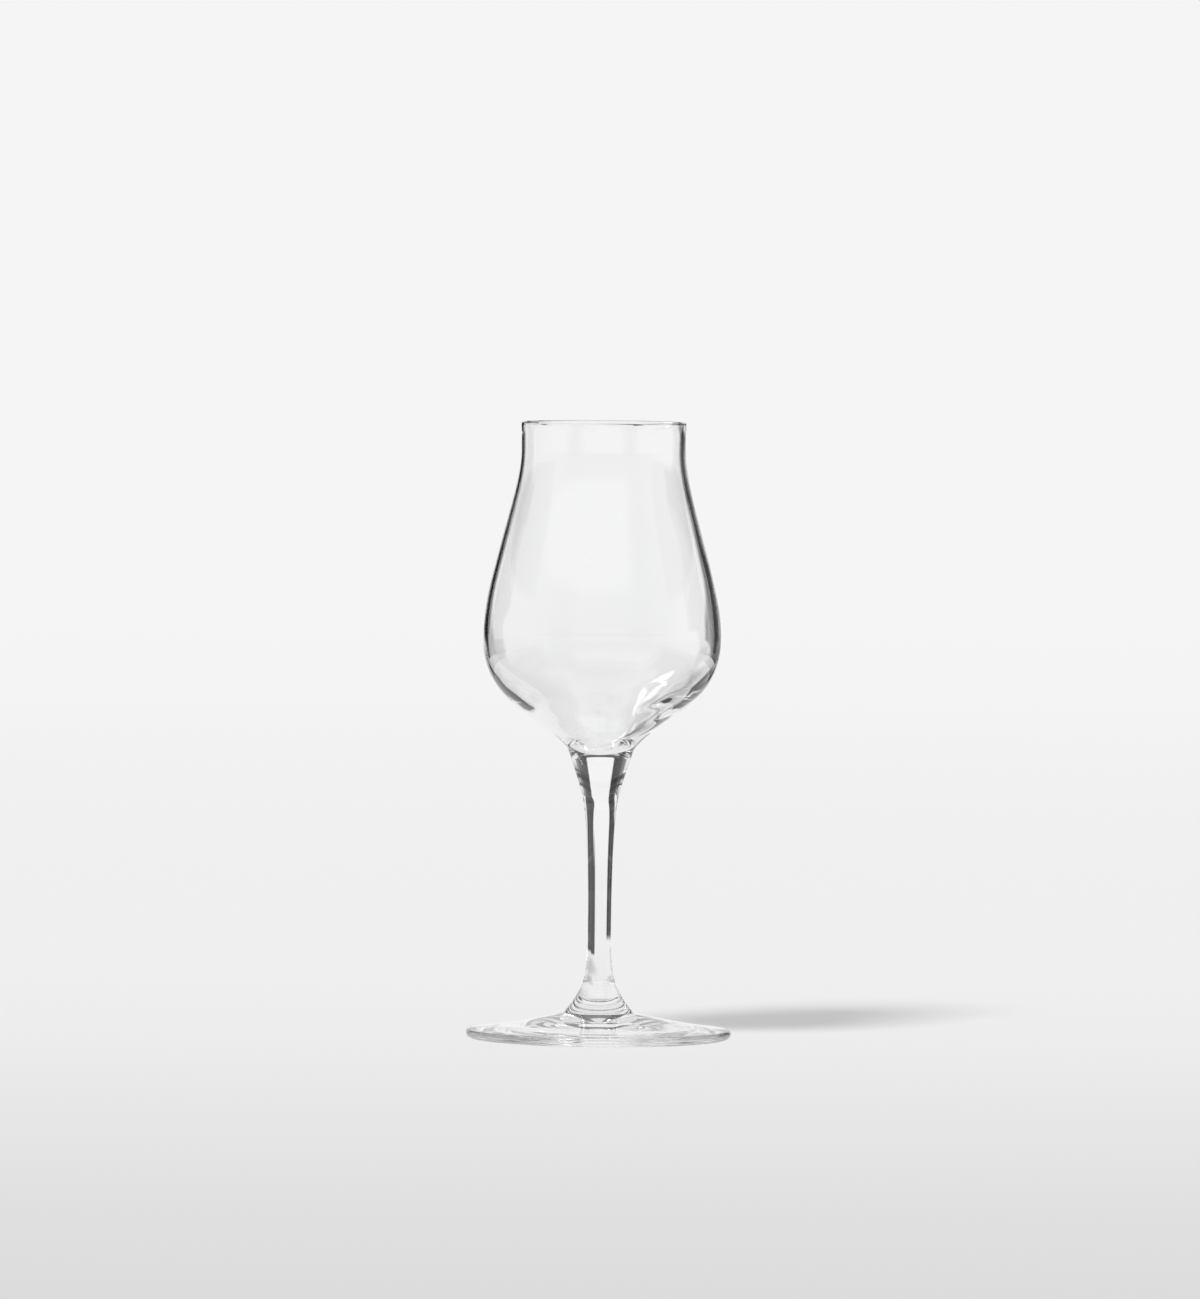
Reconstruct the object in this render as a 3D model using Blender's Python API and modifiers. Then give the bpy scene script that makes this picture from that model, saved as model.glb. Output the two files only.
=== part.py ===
"""Stemmed whisky tasting glass, made of a blown bowl, a drawn stem and a pressed foot.

The three pieces are clear glass, joined end to end while hot. Each one is a profile turned about the
glass's axis. It has its own origin, on the axis at its lower face, and is seated on the piece below it.
"""

from math import cos, pi, radians, sin, tan

import bpy

# Sizes are in metres. Angles are in degrees from straight down, and positive ones lean outwards.

# Joints, where two pieces share one diameter and one slope
JOINT_GAP = 0.0003
UPPER_JOINT_DIAMETER = 0.0104
UPPER_JOINT_FLARE = 18.3
LOWER_JOINT_DIAMETER = 0.0088
LOWER_JOINT_FLARE = 21.0

# Foot: a shallow plate on a flat resting ring, with a flared boss that carries the stem
FOOT_HEIGHT = 0.0146
FOOT_DIAMETER = 0.0706
FOOT_WIDEST_HEIGHT = 0.0015
EDGE_TOP_ROUND = 0.0008
EDGE_TOP_HEIGHT = 0.00245
EDGE_TOP_SLOPE = 84.0
EDGE_BOTTOM_ROUND = 0.0015
REST_RING_WIDTH = 0.0080
UNDERSIDE_RISE = 0.0024
UNDERSIDE_SLOPE = 22.0
BOSS_DIAMETER = 0.0186
BOSS_CORNER_HEIGHT = 0.0069
BOSS_FLARE = 38.0
PLATE_SLOPE = 76.0

# Stem: drawn thin, with its waist low down
STEM_LENGTH = 0.0511
STEM_WAIST_DIAMETER = 0.0063
STEM_WAIST_HEIGHT = 0.0112

# Bowl, with heights above its joint with the stem
BOWL_HEIGHT = 0.0977
RIM_DIAMETER = 0.0440
RIM_WALL = 0.0011
LIP_DEPTH = 0.0078
BELLY_DIAMETER = 0.0634
BELLY_HEIGHT = 0.0411
BELLY_WALL = 0.0015
HIP_DIAMETER = 0.0344
HIP_HEIGHT = 0.0181
HIP_SLOPE = 54.0
HIP_WALL = 0.0028
FUNNEL_HEIGHT = 0.0100
FLOOR_HEIGHT = 0.0102

# How far each curve keeps its direction at its two ends, as a share of the straight line between them
ROUND_PULL = 0.39
SHOULDER_PULLS = (0.23, 0.285)
HIP_PULLS = (0.47, 0.36)
FUNNEL_PULLS = (0.17, 0.23)
FLOOR_PULLS = (0.22, 0.65)
STEM_PULLS = (0.12, 0.52)
STEM_END_PULLS = (0.36, 0.23)
BOSS_PULLS = (0.25, 0.50)
PLATE_PULLS = (0.30, 0.34)
UNDERSIDE_PULLS = (0.12, 0.50)

# Facets
TURN_STEPS = 56
CURVE_STEPS = 8
ROUND_STEPS = 4

# Clear glass: a trace of green in the mass, a polished skin
GLASS_COLOUR = (0.97, 0.985, 0.975, 1.0)
GLASS_ROUGHNESS = 0.02
GLASS_IOR = 1.52

DOWN = 0.0
OUT = 90.0
UP = 180.0
IN = -90.0


def heading(angle):
    """Direction (outwards, upwards) at an angle from straight down."""
    return sin(radians(angle)), -cos(radians(angle))


def bend(start, start_angle, end, end_angle, pulls, steps):
    """Points of a smooth curve after its start, with a given direction at each end."""
    reach = ((end[0] - start[0]) ** 2 + (end[1] - start[1]) ** 2) ** 0.5
    leave = heading(start_angle)
    arrive = heading(end_angle)
    points = []
    for step in range(1, steps + 1):
        t = step / steps
        s = 1.0 - t
        point = []
        for axis in range(2):
            first = start[axis] + pulls[0] * reach * leave[axis]
            second = end[axis] - pulls[1] * reach * arrive[axis]
            curve = s**3 * start[axis] + 3 * s * s * t * first + 3 * s * t * t * second + t**3 * end[axis]
            point.append(curve)
        points.append(tuple(point))
    return points


def half_round(centre, radius, steps):
    """Points of a half circle over the top of a wall, from its inner side to its outer side."""
    points = []
    for step in range(1, steps + 1):
        turn = pi * step / steps
        points.append((centre[0] - radius * cos(turn), centre[1] + radius * sin(turn)))
    return points


def foot_outline():
    """From the boss's top face down its flank, over the plate and its edge, and in under the foot."""
    joint = (LOWER_JOINT_DIAMETER / 2, FOOT_HEIGHT)
    corner = (BOSS_DIAMETER / 2, BOSS_CORNER_HEIGHT)
    plate_end = (FOOT_DIAMETER / 2 - EDGE_TOP_ROUND, EDGE_TOP_HEIGHT)
    widest = (FOOT_DIAMETER / 2, FOOT_WIDEST_HEIGHT)
    ring_outer = (FOOT_DIAMETER / 2 - EDGE_BOTTOM_ROUND, 0.0)
    ring_inner = (ring_outer[0] - REST_RING_WIDTH, 0.0)
    underside_centre = (0.0, UNDERSIDE_RISE)
    rounding = (ROUND_PULL, ROUND_PULL)
    outline = [(0.0, FOOT_HEIGHT), joint]
    outline += bend(joint, LOWER_JOINT_FLARE, corner, BOSS_FLARE, BOSS_PULLS, CURVE_STEPS)
    outline += bend(corner, PLATE_SLOPE, plate_end, EDGE_TOP_SLOPE, PLATE_PULLS, CURVE_STEPS)
    outline += bend(plate_end, EDGE_TOP_SLOPE, widest, DOWN, rounding, ROUND_STEPS)
    outline += bend(widest, DOWN, ring_outer, IN, rounding, ROUND_STEPS)
    outline.append(ring_inner)
    outline += bend(ring_inner, IN - UNDERSIDE_SLOPE, underside_centre, IN, UNDERSIDE_PULLS, CURVE_STEPS)
    return outline


def stem_outline():
    """From the stem's top face down its tapering side to its waist, and out to its lower face."""
    top = (UPPER_JOINT_DIAMETER / 2, STEM_LENGTH)
    waist = (STEM_WAIST_DIAMETER / 2, STEM_WAIST_HEIGHT)
    bottom = (LOWER_JOINT_DIAMETER / 2, 0.0)
    outline = [(0.0, STEM_LENGTH), top]
    outline += bend(top, -UPPER_JOINT_FLARE, waist, DOWN, STEM_PULLS, CURVE_STEPS)
    outline += bend(waist, DOWN, bottom, LOWER_JOINT_FLARE, STEM_END_PULLS, CURVE_STEPS)
    outline.append((0.0, 0.0))
    return outline


def bowl_outline():
    """From the middle of the bowl's floor up the inside, over the rim, and down the outside to the stem."""
    lip_height = BOWL_HEIGHT - LIP_DEPTH
    rim_round = RIM_WALL / 2
    rim_centre = (RIM_DIAMETER / 2 - rim_round, BOWL_HEIGHT - rim_round)
    joint = (UPPER_JOINT_DIAMETER / 2, 0.0)
    funnel_top = (joint[0] + FUNNEL_HEIGHT * tan(radians(UPPER_JOINT_FLARE)), FUNNEL_HEIGHT)
    hip = (HIP_DIAMETER / 2, HIP_HEIGHT)
    belly = (BELLY_DIAMETER / 2, BELLY_HEIGHT)
    lip = (RIM_DIAMETER / 2, lip_height)
    belly_inside = (belly[0] - BELLY_WALL, BELLY_HEIGHT)
    lip_inside = (lip[0] - RIM_WALL, lip_height)
    along, rise = heading(-HIP_SLOPE)
    hip_inside = (hip[0] + HIP_WALL * rise, hip[1] - HIP_WALL * along)
    floor = (0.0, FLOOR_HEIGHT)

    outline = [floor]
    outline += bend(floor, OUT, hip_inside, UP - HIP_SLOPE, FLOOR_PULLS, CURVE_STEPS)
    outline += bend(hip_inside, UP - HIP_SLOPE, belly_inside, UP, HIP_PULLS[::-1], CURVE_STEPS)
    outline += bend(belly_inside, UP, lip_inside, UP, SHOULDER_PULLS[::-1], CURVE_STEPS)
    outline.append((lip_inside[0], rim_centre[1]))
    outline += half_round(rim_centre, rim_round, ROUND_STEPS)
    outline.append(lip)
    outline += bend(lip, DOWN, belly, DOWN, SHOULDER_PULLS, CURVE_STEPS)
    outline += bend(belly, DOWN, hip, -HIP_SLOPE, HIP_PULLS, CURVE_STEPS)
    outline += bend(hip, -HIP_SLOPE, funnel_top, -UPPER_JOINT_FLARE, FUNNEL_PULLS, CURVE_STEPS)
    outline += [joint, (0.0, 0.0)]
    return outline


def clear_glass(name):
    """Material of one piece."""
    material = bpy.data.materials.new(name)
    material.use_nodes = True
    shader = material.node_tree.nodes["Principled BSDF"]
    shader.inputs["Base Color"].default_value = GLASS_COLOUR
    shader.inputs["Roughness"].default_value = GLASS_ROUGHNESS
    shader.inputs["Metallic"].default_value = 0.0
    shader.inputs["IOR"].default_value = GLASS_IOR
    shader.inputs["Transmission Weight"].default_value = 1.0
    return material


def turned(name, outline, seat_height, collection, parent):
    """One piece of the glass: its outline turned about the axis, seated at a height."""
    mesh = bpy.data.meshes.new(name)
    points = [(radius, 0.0, height) for radius, height in outline]
    mesh.from_pydata(points, [(index, index + 1) for index in range(len(points) - 1)], [])
    mesh.materials.append(clear_glass(name + "_glass"))
    piece = bpy.data.objects.new(name, mesh)
    piece.location.z = seat_height
    piece.parent = parent
    collection.objects.link(piece)
    turn = piece.modifiers.new("turn", "SCREW")
    turn.steps = TURN_STEPS
    turn.render_steps = TURN_STEPS
    turn.use_merge_vertices = True
    turn.merge_threshold = 0.00001
    turn.use_smooth_shade = True
    piece.modifiers.new("crisp corners", "WEIGHTED_NORMAL")
    return piece


def main():
    for old in list(bpy.data.objects):
        bpy.data.objects.remove(old)
    collection = bpy.data.collections.new("tasting_glass")
    bpy.context.scene.collection.children.link(collection)
    centre = bpy.data.objects.new("tasting_glass_centre", None)
    collection.objects.link(centre)

    stem_seat = FOOT_HEIGHT + JOINT_GAP
    bowl_seat = stem_seat + STEM_LENGTH + JOINT_GAP
    turned("foot", foot_outline(), 0.0, collection, centre)
    turned("stem", stem_outline(), stem_seat, collection, centre)
    turned("bowl", bowl_outline(), bowl_seat, collection, centre)


main()
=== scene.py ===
"""Looks of the stemmed whisky tasting glass: three pieces of clear glass on a pale studio sweep."""

from math import cos, pi, radians, sin, tan

import bpy
import numpy as np
from mathutils import Matrix, Vector


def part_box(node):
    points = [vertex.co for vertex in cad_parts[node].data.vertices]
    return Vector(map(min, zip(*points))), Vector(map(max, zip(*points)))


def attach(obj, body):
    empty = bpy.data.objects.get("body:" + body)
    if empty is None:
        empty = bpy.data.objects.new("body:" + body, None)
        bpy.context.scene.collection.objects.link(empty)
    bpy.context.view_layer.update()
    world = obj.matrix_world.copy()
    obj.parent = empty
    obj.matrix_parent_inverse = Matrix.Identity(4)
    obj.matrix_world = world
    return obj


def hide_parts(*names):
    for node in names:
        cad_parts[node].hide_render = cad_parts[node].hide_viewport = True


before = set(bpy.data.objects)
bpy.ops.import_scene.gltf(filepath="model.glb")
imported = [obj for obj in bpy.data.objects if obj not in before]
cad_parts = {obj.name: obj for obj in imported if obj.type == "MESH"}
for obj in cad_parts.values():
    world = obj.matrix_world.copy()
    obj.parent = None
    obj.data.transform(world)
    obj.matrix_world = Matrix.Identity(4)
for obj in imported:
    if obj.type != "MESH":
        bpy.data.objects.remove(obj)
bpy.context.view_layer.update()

MM = 0.001

# Camera: a long lens a little above the rim, with a slight roll. In metres, degrees and millimetres of lens
CAMERA_DISTANCE = 3.2
CAMERA_HEIGHT = 0.2311
CAMERA_PITCH = 2.283
CAMERA_YAW = 0.0096
CAMERA_ROLL = 0.55
LENS_MM = 333.9

# How many surfaces a ray may pass, and how many of them may mirror it
BOUNCES = 32
MIRROR_BOUNCES = 16

# Brightness of the studio, where 1 is white. In the glass the backdrop fades to a ceiling, and the front that
# it mirrors is dimmed. A pair says over which upward or backward part of a ray's direction that comes
BACKDROP = 0.913
AMBIENT = 0.62
CEILING_FRONT = 0.38
CEILING_BACK = 0.75
CEILING_FROM = (0.36, 0.56)
CEILING_TURN = (-0.2, 0.5)
FRONT_GLOSS = 0.6
FRONT_GLOSS_TURN = (-0.6, 0.2)

# A ray that has met the floor has a diffuse depth above this
FLOOR_MET = 0.5

# Floor, in metres: its grey from front to back, which is painted shade that darkens the front as light
# falling off there would, and where it fades into the backdrop
FLOOR_LEVEL = -0.0001
FLOOR_RADIUS = 60.0
FLOOR_SIDES = 96
FLOOR_FADE = (0.5, 3.0)
FLOOR_PAINTED_SHADE_FRONT = 0.70
FLOOR_PAINTED_SHADE_BACK = 0.91
FLOOR_PAINTED_SHADE_REACH = (-1.2, 0.35)

# Key light: where it comes from, how wide it looks in degrees, and how strongly it lights the floor
KEY_FROM = (-0.72, -1.14, 1.62)
KEY_WIDTH = 14.0
KEY_STRENGTH = 1.355

# Brightness of the studio cards, where 1 is white
BLACK_CARD = 0.01
DARK_CARD = 0.05
DIM_CARD = 0.08
GREY_CARD = 0.4
WHITE_CARD = 1.0
LAMP_CARD = 6.0

# Studio cards that only the glass shows, each on an arc round it, in metres and degrees. An edge is a height
# and the bearings of the card's two sides there, clockwise from straight behind, and the lowest comes first.
# soft is how far the card fades in at its sides, its foot and its head. gloss or through is False where
# mirrored or refracted light doesn't show it
CARD_COLUMNS = 40
CARD_ROWS = 60
CARDS = {
    "left_low_flag": dict(
        distance=0.40,
        edges=((0.0, -26.0, -73.0), (0.045, -26.0, -73.0)),
        level=BLACK_CARD,
        soft=(2.0, 0.003, 0.004),
    ),
    "left_flag": dict(
        distance=0.30,
        edges=(
            (0.035, -26.0, -57.0),
            (0.070, -26.0, -57.0),
            (0.085, -23.0, -57.0),
            (0.105, -18.0, -52.0),
            (0.135, -18.0, -42.0),
            (0.165, -18.0, -42.0),
            (0.185, -17.5, -44.0),
            (0.70, -17.5, -44.0),
        ),
        level=BLACK_CARD,
        soft=(2.0, 0.003, 0.12),
    ),
    "left_side_flag": dict(
        distance=0.31,
        edges=((0.02, -55.0, -73.0), (0.09, -55.0, -73.0)),
        level=BLACK_CARD,
        soft=(2.0, 0.005, 0.01),
        gloss=False,
    ),
    "left_high_flag": dict(
        distance=0.31,
        edges=((0.18, -42.0, -110.0), (0.5, -42.0, -110.0)),
        level=BLACK_CARD,
        soft=(2.0, 0.01, 0.05),
        gloss=False,
    ),
    "right_flag": dict(
        distance=0.30,
        edges=(
            (0.035, 20.0, 62.0),
            (0.06, 20.0, 58.0),
            (0.075, 18.0, 52.0),
            (0.09, 14.0, 52.0),
            (0.105, 14.0, 52.0),
            (0.13, 20.0, 52.0),
            (0.165, 20.0, 52.0),
            (0.19, 19.5, 52.0),
            (0.70, 19.5, 52.0),
        ),
        level=DARK_CARD,
        soft=(2.0, 0.003, 0.12),
    ),
    "right_high_flag": dict(
        distance=0.31,
        edges=((0.18, 50.0, 110.0), (0.5, 50.0, 110.0)),
        level=DARK_CARD,
        soft=(2.0, 0.01, 0.05),
        gloss=False,
    ),
    "right_low_flag": dict(
        distance=0.40,
        edges=((0.0, 20.0, 64.0), (0.045, 20.0, 62.0)),
        level=DARK_CARD,
        soft=(2.0, 0.003, 0.004),
    ),
    "near_flag": dict(
        distance=0.05,
        edges=((0.0165, 20.0, 66.0), (0.032, 20.0, 66.0)),
        level=DARK_CARD,
        soft=(3.0, 0.002, 0.003),
        gloss=False,
    ),
    "top_flag": dict(
        distance=0.50,
        edges=((0.28, -26.0, 24.0), (0.64, -26.0, 24.0)),
        level=DIM_CARD,
        soft=(4.0, 0.02, 0.08),
    ),
    "front_left_flag": dict(
        distance=0.60,
        edges=((0.04, -122.0, -156.0), (0.6, -122.0, -156.0)),
        level=GREY_CARD,
        soft=(14.0, 0.05, 0.25),
        gloss=False,
    ),
    "front_right_flag": dict(
        distance=0.60,
        edges=((0.04, 122.0, 156.0), (0.6, 122.0, 156.0)),
        level=GREY_CARD,
        soft=(14.0, 0.05, 0.25),
        gloss=False,
    ),
    "left_grey": dict(
        distance=0.50,
        edges=((0.0, -30.0, -125.0), (0.36, -30.0, -125.0)),
        level=GREY_CARD,
        soft=(35.0, 0.01, 0.05),
        through=False,
    ),
    "front_softbox": dict(
        distance=0.55,
        edges=((0.30, 140.0, 260.0), (0.95, 140.0, 260.0)),
        level=WHITE_CARD,
        soft=(15.0, 0.05, 0.1),
    ),
    "back_lamp": dict(
        distance=0.29,
        edges=((0.315, -30.0, -47.0), (0.41, -30.0, -47.0)),
        level=LAMP_CARD,
        soft=(3.0, 0.02, 0.02),
    ),
    "right_side_lamp": dict(
        distance=0.08,
        edges=((0.001, 72.0, 104.0), (0.014, 72.0, 104.0)),
        level=LAMP_CARD,
        soft=(5.0, 0.002, 0.003),
        gloss=False,
    ),
    "belly_flag": dict(
        distance=0.17,
        edges=((0.0, 14.0, 33.0), (0.06, 14.0, 33.0)),
        level=DARK_CARD,
        soft=(3.0, 0.003, 0.02),
        gloss=False,
    ),
}

# Glass profile, in millimetres and in degrees from straight down. The bowl's heights are above its joint
JOINT_SEAM = 0.02
UPPER_JOINT_DIAMETER = 10.4
UPPER_JOINT_FLARE = 18.3
LOWER_JOINT_DIAMETER = 8.8
LOWER_JOINT_FLARE = 21.0
FOOT_WIDEST_HEIGHT = 1.5
EDGE_TOP_ROUND = 0.8
EDGE_TOP_HEIGHT = 2.45
EDGE_TOP_SLOPE = 84.0
EDGE_BOTTOM_ROUND = 1.5
REST_RING_WIDTH = 8.0
UNDERSIDE_RISE = 2.4
UNDERSIDE_SLOPE = 22.0
BOSS_DIAMETER = 18.6
BOSS_CORNER_HEIGHT = 6.9
BOSS_FLARE = 38.0
PLATE_SLOPE = 76.0
STEM_WAIST_DIAMETER = 6.3
STEM_WAIST_HEIGHT = 11.2
RIM_DIAMETER = 44.0
RIM_WALL = 1.1
LIP_DEPTH = 7.8
BELLY_HEIGHT = 41.1
BELLY_WALL = 1.5
HIP_DIAMETER = 34.4
HIP_HEIGHT = 18.1
HIP_SLOPE = 54.0
HIP_WALL = 2.8
FUNNEL_HEIGHT = 10.0
FLOOR_HEIGHT = 10.2

# How far each curve keeps its direction at its two ends, as a share of the straight line between them
ROUND_PULL = 0.39
SHOULDER_PULLS = (0.23, 0.285)
HIP_PULLS = (0.47, 0.36)
FUNNEL_PULLS = (0.17, 0.23)
FLOOR_PULLS = (0.22, 0.65)
STEM_PULLS = (0.12, 0.52)
STEM_END_PULLS = (0.36, 0.23)
BOSS_PULLS = (0.25, 0.50)
PLATE_PULLS = (0.30, 0.34)
UNDERSIDE_PULLS = (0.12, 0.50)

# Hand work, in millimetres. The hollow sits a little off centre, and its waves fade from the hip to the belly
HOLLOW_SHIFT = -0.25
HOLLOW_WAVE = 0.045
HOLLOW_WAVE_LENGTH = (6.0, 15.0)
HOLLOW_WAVE_SHARES = (1.0, 0.1)
HOLLOW_SEED = 7

# Waves of the rim, which come in between two depths below it
RIM_WAVE = 0.02
RIM_WAVE_LENGTH = (3.0, 9.0)
RIM_WAVE_DEPTHS = (3.0, 1.0)
RIM_SEED = 9

# Waves of the foot's plate and underside, which come in or fade between two distances from the axis
PLATE_WAVE = 0.02
PLATE_WAVE_LENGTH = (14.0, 30.0)
PLATE_WAVE_START = (10.0, 13.0)
PLATE_WAVE_END = (32.0, 34.0)
PLATE_SEED = 3
UNDERSIDE_WAVE = 0.06
UNDERSIDE_WAVE_LENGTH = (14.0, 30.0)
UNDERSIDE_WAVE_FADE = (24.0, 26.0)
RING_WAVE_SHARE = 0.1
UNDERSIDE_SEED = 5
WAVES = 14

# Bead where the hot glass was pressed together at a joint: its height and reach in millimetres, and how it
# swells on two sides, turned by an angle in radians
JOINT_BEAD = 0.06
JOINT_BEAD_REACH = 2.0
BEAD_MEAN = 0.75
BEAD_SWELL = 0.25
BEAD_LOBES = 2
BEAD_TURN = 1.0

# Glass: its clearest and deepest tint, its polish and its draw marks. Scales are in waves per metre
GLASS_IOR = 1.52
JOINT_IOR = 1.0
TINT_CLEAR = (1.0, 1.0, 1.0, 1.0)
TINT_DEEP = (0.988, 0.996, 0.992, 1.0)
TINT_SCALE = 40.0
TINT_DETAIL = 2.0
POLISH_SCALE = 120.0
POLISH_DETAIL = 3.0
POLISH_ROUGHNESS = (0.0, 0.002)
DRAW_SCALE = 160.0
DRAW_DETAIL = 1.0
DRAW_STRETCH = (1.0, 1.0, 0.35)
DRAW_DEPTH = 0.000002

# Facets, and the angle in degrees above which an edge stays sharp
TURN_STEPS = 192
CURVE_STEPS = 24
ROUND_STEPS = 10
STRAIGHT_STEPS = 16
JOINT_STEPS = 96
PLATE_STEPS = 60
SHARP_ANGLE = 40.0

# A point nearer the axis than this, in millimetres, is on it
ON_AXIS = 0.0001

# Material slots of a piece
SKIN_SLOT = 0
JOINT_SLOT = 1

DOWN = 0.0
OUT = 90.0
UP = 180.0
IN = -90.0


def heading(angle):
    """Direction (outwards, upwards) at an angle from straight down."""
    return np.array((sin(radians(angle)), -cos(radians(angle))))


def bend(start, start_angle, end, end_angle, pulls, steps=CURVE_STEPS):
    """Points of a smooth curve after its start, with a given direction at each end."""
    start = np.array(start)
    end = np.array(end)
    reach = np.linalg.norm(end - start)
    first = start + pulls[0] * reach * heading(start_angle)
    second = end - pulls[1] * reach * heading(end_angle)
    t = (np.arange(1, steps + 1) / steps)[:, None]
    s = 1.0 - t
    return list(s**3 * start + 3 * s * s * t * first + 3 * s * t * t * second + t**3 * end)


def straight(start, end, steps=STRAIGHT_STEPS):
    """Points of a straight line after its start, close together at its ends to keep the shading true."""
    start = np.array(start)
    end = np.array(end)
    shares = (1 - np.cos(pi * np.arange(1, steps + 1) / steps)) / 2
    return [start + (end - start) * share for share in shares]


def half_round(centre, radius, steps=ROUND_STEPS):
    """Points of a half circle over the top of a wall, from its inner side to its outer side."""
    turns = pi * np.arange(1, steps + 1) / steps
    return [np.array((centre[0] - radius * cos(turn), centre[1] + radius * sin(turn))) for turn in turns]


def foot_outline(bottom, top, diameter):
    """From the joint down the boss's flank, over the plate and its edge, and in under the foot."""
    joint = (LOWER_JOINT_DIAMETER / 2, top)
    corner = (BOSS_DIAMETER / 2, BOSS_CORNER_HEIGHT)
    plate_end = (diameter / 2 - EDGE_TOP_ROUND, EDGE_TOP_HEIGHT)
    widest = (diameter / 2, FOOT_WIDEST_HEIGHT)
    ring_outer = (diameter / 2 - EDGE_BOTTOM_ROUND, bottom)
    ring_inner = (ring_outer[0] - REST_RING_WIDTH, bottom)
    underside_centre = (0.0, UNDERSIDE_RISE)
    rounding = (ROUND_PULL, ROUND_PULL)
    outline = [joint]
    outline += bend(joint, LOWER_JOINT_FLARE, corner, BOSS_FLARE, BOSS_PULLS, JOINT_STEPS)
    outline += bend(corner, PLATE_SLOPE, plate_end, EDGE_TOP_SLOPE, PLATE_PULLS, PLATE_STEPS)
    outline += bend(plate_end, EDGE_TOP_SLOPE, widest, DOWN, rounding, ROUND_STEPS)
    outline += bend(widest, DOWN, ring_outer, IN, rounding, ROUND_STEPS)
    outline += straight(ring_outer, ring_inner)
    outline += bend(ring_inner, IN - UNDERSIDE_SLOPE, underside_centre, IN, UNDERSIDE_PULLS, PLATE_STEPS)
    return outline


def stem_outline(bottom, top, waist_height):
    """From the upper joint down the tapering side to the waist, and out to the lower joint."""
    upper = (UPPER_JOINT_DIAMETER / 2, top)
    waist = (STEM_WAIST_DIAMETER / 2, waist_height)
    lower = (LOWER_JOINT_DIAMETER / 2, bottom)
    outline = [upper]
    outline += bend(upper, -UPPER_JOINT_FLARE, waist, DOWN, STEM_PULLS, 2 * JOINT_STEPS)
    outline += bend(waist, DOWN, lower, LOWER_JOINT_FLARE, STEM_END_PULLS, JOINT_STEPS)
    return outline


def bowl_outline(base, bottom, top, diameter):
    """From the middle of the bowl's floor up the hollow, over the rim, and down the outside to the joint.

    It also gives how many of the points belong to the hollow.
    """
    lip_height = top - LIP_DEPTH
    rim_round = RIM_WALL / 2
    rim_centre = (RIM_DIAMETER / 2 - rim_round, top - rim_round)
    joint = (UPPER_JOINT_DIAMETER / 2, bottom)
    funnel_top = (joint[0] + FUNNEL_HEIGHT * tan(radians(UPPER_JOINT_FLARE)), base + FUNNEL_HEIGHT)
    hip = (HIP_DIAMETER / 2, base + HIP_HEIGHT)
    belly = (diameter / 2, base + BELLY_HEIGHT)
    lip = (RIM_DIAMETER / 2, lip_height)
    belly_inside = (belly[0] - BELLY_WALL, belly[1])
    lip_inside = (lip[0] - RIM_WALL, lip_height)
    along, rise = heading(-HIP_SLOPE)
    hip_inside = (hip[0] + HIP_WALL * rise, hip[1] - HIP_WALL * along)
    floor = (0.0, base + FLOOR_HEIGHT)
    outline = [floor]
    outline += bend(floor, OUT, hip_inside, UP - HIP_SLOPE, FLOOR_PULLS)
    outline += bend(hip_inside, UP - HIP_SLOPE, belly_inside, UP, HIP_PULLS[::-1])
    outline += bend(belly_inside, UP, lip_inside, UP, SHOULDER_PULLS[::-1])
    outline += straight(lip_inside, (lip_inside[0], rim_centre[1]))
    hollow = len(outline)
    outline += half_round(rim_centre, rim_round)
    outline += straight(outline[-1], lip)
    outline += bend(lip, DOWN, belly, DOWN, SHOULDER_PULLS)
    outline += bend(belly, DOWN, hip, -HIP_SLOPE, HIP_PULLS)
    outline += bend(hip, -HIP_SLOPE, funnel_top, -UPPER_JOINT_FLARE, FUNNEL_PULLS)
    outline += straight(funnel_top, joint, JOINT_STEPS)
    return outline, hollow


def turned_points(outline):
    """Rings of points of an outline turned about the axis: one array of x, y, z per ring, or one point."""
    angles = 2 * pi * np.arange(TURN_STEPS) / TURN_STEPS
    rings = []
    for radius, height in outline:
        if radius < ON_AXIS:
            rings.append(np.array(((0.0, 0.0, height),)))
            continue
        heights = np.full(TURN_STEPS, height)
        rings.append(np.stack((radius * np.cos(angles), radius * np.sin(angles), heights), axis=1))
    return rings


def uneven(rings, amounts, lengths, seed):
    """Push rings along their outline's normal by a smooth random wave, with one amount per ring."""
    draw = np.random.default_rng(seed)
    aims = draw.normal(size=(WAVES, 3))
    aims /= np.linalg.norm(aims, axis=1)[:, None]
    pitches = 2 * pi / draw.uniform(*lengths, size=WAVES)
    phases = draw.uniform(0, 2 * pi, size=WAVES)
    outline = np.array([(np.hypot(ring[0, 0], ring[0, 1]), ring[0, 2]) for ring in rings])
    along = np.gradient(outline, axis=0)
    along /= np.linalg.norm(along, axis=1)[:, None]
    for ring, amount, (out, up) in zip(rings, amounts, along):
        if amount == 0.0:
            continue
        wave = np.sin((ring @ aims.T) * pitches + phases).sum(axis=1) / np.sqrt(WAVES / 2)
        reach = np.maximum(np.hypot(ring[:, 0], ring[:, 1]), ON_AXIS)
        sideways = up * ring[:, :2] / reach[:, None]
        upwards = np.full((len(ring), 1), -out)
        ring += amount * wave[:, None] * np.hstack((sideways, upwards))


def bead(rings, joint):
    """Swell rings near a joint, more on two sides than on the others."""
    for ring in rings:
        swell = JOINT_BEAD * np.exp(-((ring[0, 2] - joint) / JOINT_BEAD_REACH) ** 2)
        around = np.arctan2(ring[:, 1], ring[:, 0])
        swell = swell * (BEAD_MEAN + BEAD_SWELL * np.sin(BEAD_LOBES * around + BEAD_TURN))
        ring[:, :2] *= 1 + (swell / np.hypot(ring[:, 0], ring[:, 1]))[:, None]


def link_object(name, data):
    """New object in the scene."""
    thing = bpy.data.objects.new(name, data)
    bpy.context.scene.collection.objects.link(thing)
    return thing


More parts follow.
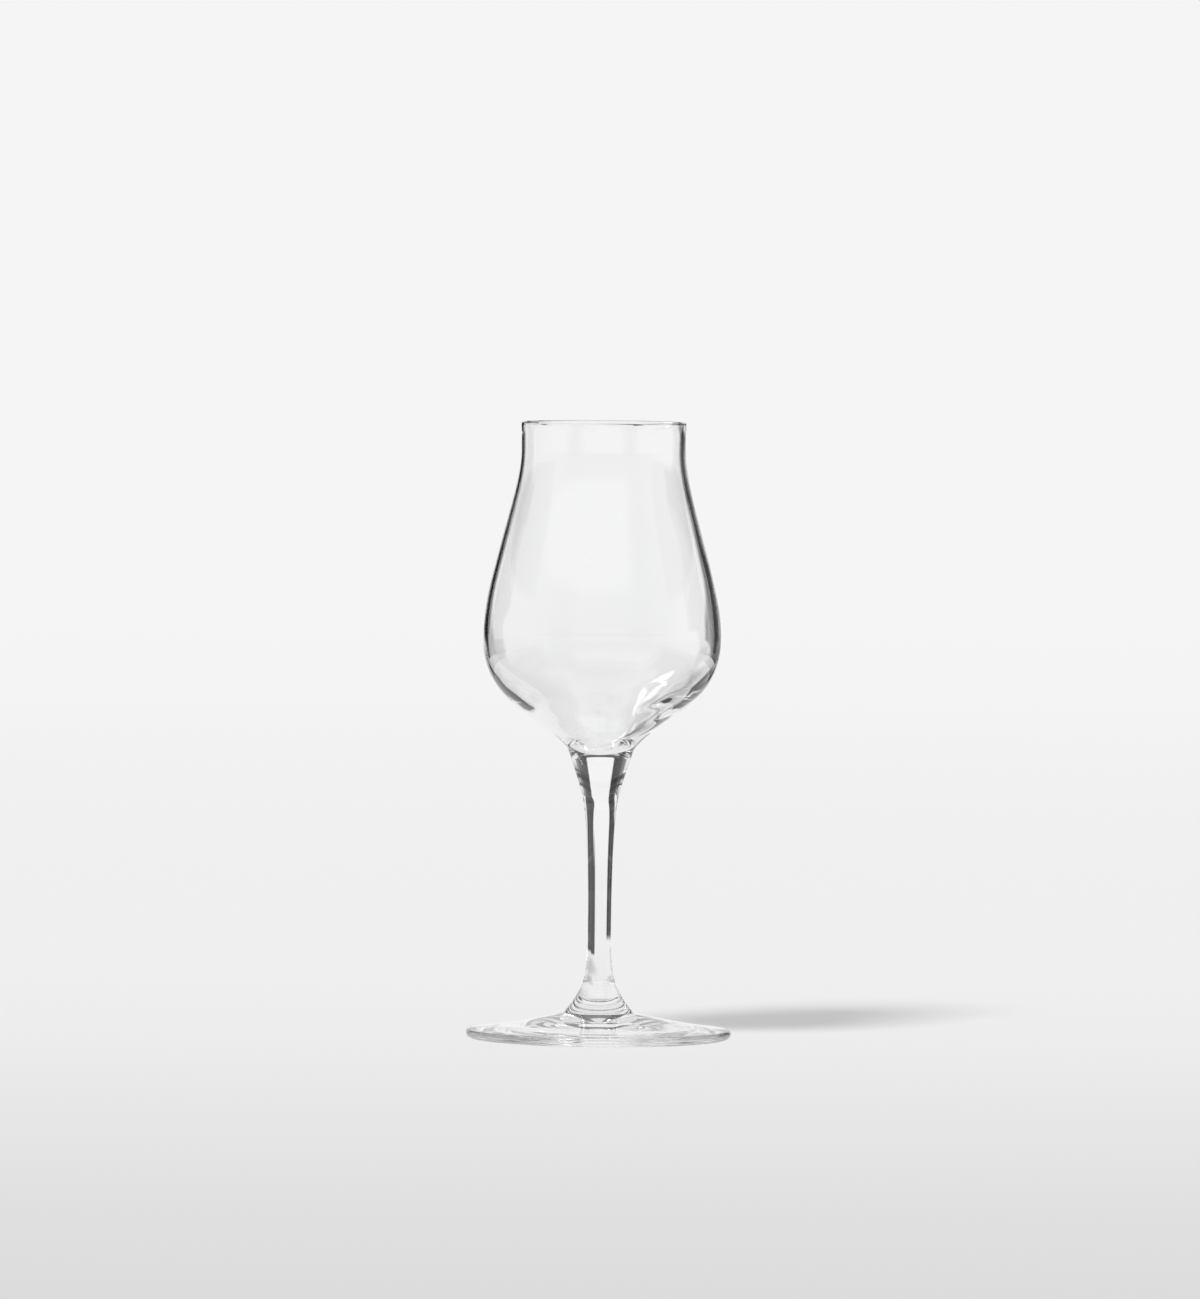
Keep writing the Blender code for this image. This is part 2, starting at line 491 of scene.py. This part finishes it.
def mesh_piece(name, rings, skin, joint_face, top_cap, bottom_cap):
    """A closed mesh over rings of points. A cap closes it at a joint, with the joint's material."""
    faces = []
    slots = []
    starts = np.cumsum([0] + [len(ring) for ring in rings])
    for index in range(len(rings) - 1):
        this = starts[index]
        following = starts[index + 1]
        for step in range(TURN_STEPS):
            after = (step + 1) % TURN_STEPS
            if len(rings[index]) == 1:
                faces.append((this, following + step, following + after))
            elif len(rings[index + 1]) == 1:
                faces.append((this + step, following, this + after))
            else:
                faces.append((this + step, following + step, following + after, this + after))
            slots.append(SKIN_SLOT)
    if top_cap:
        faces.append(tuple(starts[0] + step for step in range(TURN_STEPS)))
        slots.append(JOINT_SLOT)
    if bottom_cap:
        faces.append(tuple(starts[-2] + step for step in reversed(range(TURN_STEPS))))
        slots.append(JOINT_SLOT)
    mesh = bpy.data.meshes.new(name)
    mesh.from_pydata([tuple(point) for point in np.concatenate(rings) * MM], [], faces)
    mesh.materials.append(skin)
    mesh.materials.append(joint_face)
    mesh.polygons.foreach_set("material_index", slots)
    mesh.shade_smooth()
    mesh.set_sharp_from_angle(angle=radians(SHARP_ANGLE))
    return link_object(name, mesh)


def node_material(name):
    """New material, with its nodes and links."""
    material = bpy.data.materials.new(name)
    material.use_nodes = True
    return material, material.node_tree.nodes, material.node_tree.links


def smooth_between(nodes, links, value, low, high):
    """Node that rises smoothly from 0 to 1 while a value goes from low to high."""
    step = nodes.new("ShaderNodeMapRange")
    step.interpolation_type = "SMOOTHSTEP"
    step.inputs["From Min"].default_value = low
    step.inputs["From Max"].default_value = high
    links.new(value, step.inputs["Value"])
    return step.outputs["Result"]


def feed(links, socket, value):
    """Set a socket from another socket or from a number."""
    if isinstance(value, (int, float)):
        socket.default_value = value
    else:
        links.new(value, socket)


def combine(nodes, links, operation, first, second):
    """Math node; each side is a socket or a number."""
    node = nodes.new("ShaderNodeMath")
    node.operation = operation
    feed(links, node.inputs[0], first)
    feed(links, node.inputs[1], second)
    return node.outputs["Value"]


def blend_value(nodes, links, share, low, high):
    """Node that goes from one level to another with a share; each level is a socket or a number."""
    node = nodes.new("ShaderNodeMix")
    feed(links, node.inputs[0], share)
    feed(links, node.inputs[2], low)
    feed(links, node.inputs[3], high)
    return node.outputs[0]


def noise(nodes, links, position, scale, detail):
    """Noise over the glass, with a scale in waves per metre."""
    node = nodes.new("ShaderNodeTexNoise")
    node.inputs["Scale"].default_value = scale
    node.inputs["Detail"].default_value = detail
    links.new(position, node.inputs["Vector"])
    return node.outputs["Fac"]


def plain_glow(nodes, level):
    """Glow of one grey."""
    glow = nodes.new("ShaderNodeEmission")
    glow.inputs["Color"].default_value = (level, level, level, 1.0)
    return glow


def show_blend(nodes, links, share, first, second):
    """End a material in a blend that goes from one shader to another with a share."""
    blend = nodes.new("ShaderNodeMixShader")
    links.new(share, blend.inputs[0])
    links.new(first.outputs[0], blend.inputs[1])
    links.new(second.outputs[0], blend.inputs[2])
    output = nodes.new("ShaderNodeOutputMaterial")
    links.new(blend.outputs[0], output.inputs["Surface"])


def clear_glass():
    """Polished glass with a trace of green that drifts, faint draw marks and a slightly uneven polish."""
    material, nodes, links = node_material("clear_glass")
    shader = nodes["Principled BSDF"]
    shader.inputs["IOR"].default_value = GLASS_IOR
    shader.inputs["Transmission Weight"].default_value = 1.0
    position = nodes.new("ShaderNodeNewGeometry").outputs["Position"]

    drift = noise(nodes, links, position, TINT_SCALE, TINT_DETAIL)
    tint = nodes.new("ShaderNodeMix")
    tint.data_type = "RGBA"
    tint.inputs["A"].default_value = TINT_CLEAR
    tint.inputs["B"].default_value = TINT_DEEP
    links.new(drift, tint.inputs["Factor"])
    links.new(tint.outputs["Result"], shader.inputs["Base Color"])

    polish = noise(nodes, links, position, POLISH_SCALE, POLISH_DETAIL)
    rough = blend_value(nodes, links, polish, *POLISH_ROUGHNESS)
    links.new(rough, shader.inputs["Roughness"])

    stretch = nodes.new("ShaderNodeMapping")
    stretch.inputs["Scale"].default_value = DRAW_STRETCH
    links.new(position, stretch.inputs["Vector"])
    marks = noise(nodes, links, stretch.outputs["Vector"], DRAW_SCALE, DRAW_DETAIL)
    bump = nodes.new("ShaderNodeBump")
    bump.inputs["Strength"].default_value = 1.0
    bump.inputs["Distance"].default_value = DRAW_DEPTH
    links.new(marks, bump.inputs["Height"])
    links.new(bump.outputs["Normal"], shader.inputs["Normal"])
    return material


def fused_joint():
    """Face inside a joint, where light goes straight on from one piece into the next."""
    material, nodes, _ = node_material("fused_joint")
    shader = nodes["Principled BSDF"]
    shader.inputs["Base Color"].default_value = TINT_CLEAR
    shader.inputs["Roughness"].default_value = 0.0
    shader.inputs["IOR"].default_value = JOINT_IOR
    shader.inputs["Transmission Weight"].default_value = 1.0
    return material


def span(node):
    """Lowest and highest point of a CAD node along the axis, and its widest diameter, in millimetres."""
    low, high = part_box(node)
    return low[2] / MM, high[2] / MM, (high[0] - low[0]) / MM


# Heights and diameters of the CAD pieces, in millimetres. They meet in the middle of the gaps between them
foot_low, foot_high, foot_wide = span("foot")
stem_low, stem_high, _ = span("stem")
bowl_low, bowl_high, bowl_wide = span("bowl")
lower_joint = (foot_high + stem_low) / 2
upper_joint = (stem_high + bowl_low) / 2


def stand_for(piece, node):
    """Let a piece ride on the glass's one body in place of its CAD node."""
    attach(piece, "root")
    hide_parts(node)


def make_foot(skin, joint_face):
    """Foot, with an uneven plate and underside. Light goes through it, so it leaves the floor bright."""
    outline = foot_outline(foot_low, lower_joint - JOINT_SEAM / 2, foot_wide)
    rings = turned_points(outline)
    radii = np.array([point[0] for point in outline])
    number = np.arange(len(outline))
    plate = (number > JOINT_STEPS) & (number <= JOINT_STEPS + PLATE_STEPS)
    under = number > JOINT_STEPS + PLATE_STEPS + 2 * ROUND_STEPS
    plate_rise = np.interp(radii, PLATE_WAVE_START, (0.0, 1.0))
    plate_fall = np.interp(radii, PLATE_WAVE_END, (1.0, 0.0))
    under_share = np.interp(radii, UNDERSIDE_WAVE_FADE, (1.0, RING_WAVE_SHARE))
    uneven(rings, PLATE_WAVE * plate * (plate_rise * plate_fall), PLATE_WAVE_LENGTH, PLATE_SEED)
    uneven(rings, UNDERSIDE_WAVE * under * under_share, UNDERSIDE_WAVE_LENGTH, UNDERSIDE_SEED)
    bead(rings[:JOINT_STEPS // 2], lower_joint)
    piece = mesh_piece("foot_glass", rings, skin, joint_face, True, False)
    piece.visible_shadow = False
    stand_for(piece, "foot")


def make_stem(skin, joint_face):
    """Stem, with a bead at both joints."""
    bottom = lower_joint + JOINT_SEAM / 2
    top = upper_joint - JOINT_SEAM / 2
    rings = turned_points(stem_outline(bottom, top, stem_low + STEM_WAIST_HEIGHT))
    bead(rings, upper_joint)
    bead(rings, lower_joint)
    piece = mesh_piece("stem_glass", rings, skin, joint_face, True, True)
    stand_for(piece, "stem")


def make_bowl(skin, joint_face):
    """Bowl, with an uneven hollow a little off centre and a slightly uneven rim."""
    outline, hollow = bowl_outline(bowl_low, upper_joint + JOINT_SEAM / 2, bowl_high, bowl_wide)
    rings = turned_points(outline)
    for ring in rings[:hollow]:
        ring[:, 0] += HOLLOW_SHIFT
    heights = np.array([ring[0, 2] for ring in rings])
    inside = np.arange(len(rings)) < hollow
    low = np.interp(heights, (bowl_low + HIP_HEIGHT, bowl_low + BELLY_HEIGHT), HOLLOW_WAVE_SHARES)
    uneven(rings, HOLLOW_WAVE * low * inside, HOLLOW_WAVE_LENGTH, HOLLOW_SEED)
    rim = np.interp(heights, [bowl_high - depth for depth in RIM_WAVE_DEPTHS], (0.0, 1.0))
    uneven(rings, RIM_WAVE * rim, RIM_WAVE_LENGTH, RIM_SEED)
    bead(rings[hollow:], upper_joint)
    piece = mesh_piece("bowl_glass", rings, skin, joint_face, False, True)
    stand_for(piece, "bowl")


def floor_paint():
    """Matt grey with painted shade, darker in front and lighter towards the back as falling-off light would
    make it, that fades into the backdrop's colour with distance.
    """
    material, nodes, links = node_material("floor")
    nodes.clear()
    position = nodes.new("ShaderNodeNewGeometry").outputs["Position"]
    axes = nodes.new("ShaderNodeSeparateXYZ")
    links.new(position, axes.inputs[0])
    length = nodes.new("ShaderNodeVectorMath")
    length.operation = "LENGTH"
    links.new(position, length.inputs[0])
    far = smooth_between(nodes, links, length.outputs["Value"], *FLOOR_FADE)
    # Painted shade: the grey darkens towards the front, standing in for light that falls off there
    back = smooth_between(nodes, links, axes.outputs["Y"], *FLOOR_PAINTED_SHADE_REACH)
    shade = blend_value(nodes, links, back, FLOOR_PAINTED_SHADE_FRONT, FLOOR_PAINTED_SHADE_BACK)
    matt = nodes.new("ShaderNodeBsdfDiffuse")
    links.new(shade, matt.inputs["Color"])
    show_blend(nodes, links, far, matt, plain_glow(nodes, BACKDROP))
    material.cycles.emission_sampling = "NONE"
    return material


def lay_floor():
    """Pale round floor, so wide that no horizon shows."""
    mesh = bpy.data.meshes.new("floor")
    points = [(0.0, 0.0, FLOOR_LEVEL)]
    for step in range(FLOOR_SIDES):
        angle = 2 * pi * step / FLOOR_SIDES
        points.append((FLOOR_RADIUS * cos(angle), FLOOR_RADIUS * sin(angle), FLOOR_LEVEL))
    faces = [(0, 1 + step, 1 + (step + 1) % FLOOR_SIDES) for step in range(FLOOR_SIDES)]
    mesh.from_pydata(points, [], faces)
    mesh.materials.append(floor_paint())
    link_object("floor", mesh)


def card_mesh(name, distance, edges, soft):
    """Mesh of a card, with its cover at each point: 1 in the middle, and less where it fades."""
    side_fade, foot_fade, head_fade = soft
    levels, firsts, lasts = zip(*edges)
    heights = np.linspace(levels[0], levels[-1], CARD_ROWS + 1)
    points = []
    cover = []
    for height in heights:
        first = np.interp(height, levels, firsts)
        last = np.interp(height, levels, lasts)
        rise = min(1.0, (height - heights[0]) / foot_fade, (heights[-1] - height) / head_fade)
        for share in np.linspace(0.0, 1.0, CARD_COLUMNS + 1):
            bearing = radians(first + (last - first) * share)
            points.append((distance * sin(bearing), distance * cos(bearing), FLOOR_LEVEL + height))
            from_side = min(share, 1.0 - share) * abs(last - first)
            cover.append(rise * min(1.0, from_side / side_fade))
    faces = []
    row_length = CARD_COLUMNS + 1
    for row in range(CARD_ROWS):
        for column in range(CARD_COLUMNS):
            corner = row * row_length + column
            faces.append((corner, corner + 1, corner + 1 + row_length, corner + row_length))
    mesh = bpy.data.meshes.new(name)
    mesh.from_pydata(points, [], faces)
    mesh.attributes.new("cover", "FLOAT", "POINT").data.foreach_set("value", cover)
    return mesh


def card_paint(name, level):
    """Glow where the card has cover. A ray that has met the floor goes straight through."""
    material, nodes, links = node_material(name)
    nodes.clear()
    attribute = nodes.new("ShaderNodeAttribute")
    attribute.attribute_name = "cover"
    path = nodes.new("ShaderNodeLightPath")
    before_floor = combine(nodes, links, "LESS_THAN", path.outputs["Diffuse Depth"], FLOOR_MET)
    cover = combine(nodes, links, "MULTIPLY", attribute.outputs["Fac"], before_floor)
    clear = nodes.new("ShaderNodeBsdfTransparent")
    show_blend(nodes, links, cover, clear, plain_glow(nodes, level))
    material.cycles.emission_sampling = "NONE"
    return material


def stand_card(name, distance, edges, level, soft, gloss=True, through=True):
    """One studio card, which neither the camera nor the floor sees."""
    mesh = card_mesh(name, distance, edges, soft)
    mesh.materials.append(card_paint(name, level))
    board = link_object(name, mesh)
    board.visible_camera = False
    board.visible_diffuse = False
    board.visible_shadow = False
    board.visible_glossy = gloss
    board.visible_transmission = through


def surroundings():
    """Pale backdrop. The glass sees it fade to a ceiling that is dim in front and bright behind."""
    world = bpy.data.worlds.new("studio")
    world.cycles.sampling_method = "NONE"
    bpy.context.scene.world = world
    world.use_nodes = True
    nodes = world.node_tree.nodes
    links = world.node_tree.links
    nodes.clear()
    path = nodes.new("ShaderNodeLightPath")
    direction = nodes.new("ShaderNodeTexCoord")
    axes = nodes.new("ShaderNodeSeparateXYZ")
    links.new(direction.outputs["Generated"], axes.inputs[0])
    up = smooth_between(nodes, links, axes.outputs["Z"], *CEILING_FROM)
    behind = smooth_between(nodes, links, axes.outputs["Y"], *CEILING_TURN)
    ceiling = blend_value(nodes, links, behind, CEILING_FRONT, CEILING_BACK)
    room = blend_value(nodes, links, up, BACKDROP, ceiling)
    not_front = smooth_between(nodes, links, axes.outputs["Y"], *FRONT_GLOSS_TURN)
    sheen = blend_value(nodes, links, not_front, FRONT_GLOSS, 1.0)
    mirrored = combine(nodes, links, "MULTIPLY", room, sheen)
    seen = blend_value(nodes, links, path.outputs["Is Glossy Ray"], room, mirrored)
    after_floor = combine(nodes, links, "GREATER_THAN", path.outputs["Diffuse Depth"], FLOOR_MET)
    lit = blend_value(nodes, links, after_floor, seen, AMBIENT)
    shown = blend_value(nodes, links, path.outputs["Is Camera Ray"], lit, BACKDROP)
    glow = nodes.new("ShaderNodeBackground")
    links.new(shown, glow.inputs["Color"])
    output = nodes.new("ShaderNodeOutputWorld")
    links.new(glow.outputs[0], output.inputs["Surface"])


def key_light():
    """Soft light from the front on the left, which casts the glass's shadow on the floor."""
    data = bpy.data.lights.new("key", "SUN")
    data.angle = radians(KEY_WIDTH)
    data.energy = KEY_STRENGTH
    lamp = link_object("key", data)
    lamp.location = KEY_FROM
    lamp.rotation_euler = (-Vector(KEY_FROM)).to_track_quat("-Z", "Y").to_euler()
    lamp.visible_glossy = False
    lamp.visible_transmission = False


def aim_camera():
    """Camera in front of the glass, at the photograph's viewing angle."""
    data = bpy.data.cameras.new("camera")
    data.lens = LENS_MM
    camera = link_object("camera", data)
    yaw = Matrix.Rotation(radians(CAMERA_YAW), 4, "Z")
    pitch = Matrix.Rotation(radians(OUT - CAMERA_PITCH), 4, "X")
    roll = Matrix.Rotation(radians(CAMERA_ROLL), 4, "Z")
    turn = yaw @ pitch @ roll
    camera.matrix_world = Matrix.Translation((0, -CAMERA_DISTANCE, CAMERA_HEIGHT)) @ turn
    bpy.context.scene.camera = camera


def render_settings():
    """Plain colours, and enough bounces for light to get through the glass."""
    bpy.context.scene.view_settings.view_transform = "Standard"
    cycles = bpy.context.scene.cycles
    cycles.blur_glossy = 0.0
    cycles.max_bounces = BOUNCES
    cycles.transmission_bounces = BOUNCES
    cycles.glossy_bounces = MIRROR_BOUNCES


glass_skin = clear_glass()
glass_joint = fused_joint()
make_foot(glass_skin, glass_joint)
make_stem(glass_skin, glass_joint)
make_bowl(glass_skin, glass_joint)
lay_floor()
surroundings()
for card_name, card_settings in CARDS.items():
    stand_card(card_name, **card_settings)
key_light()
aim_camera()
render_settings()
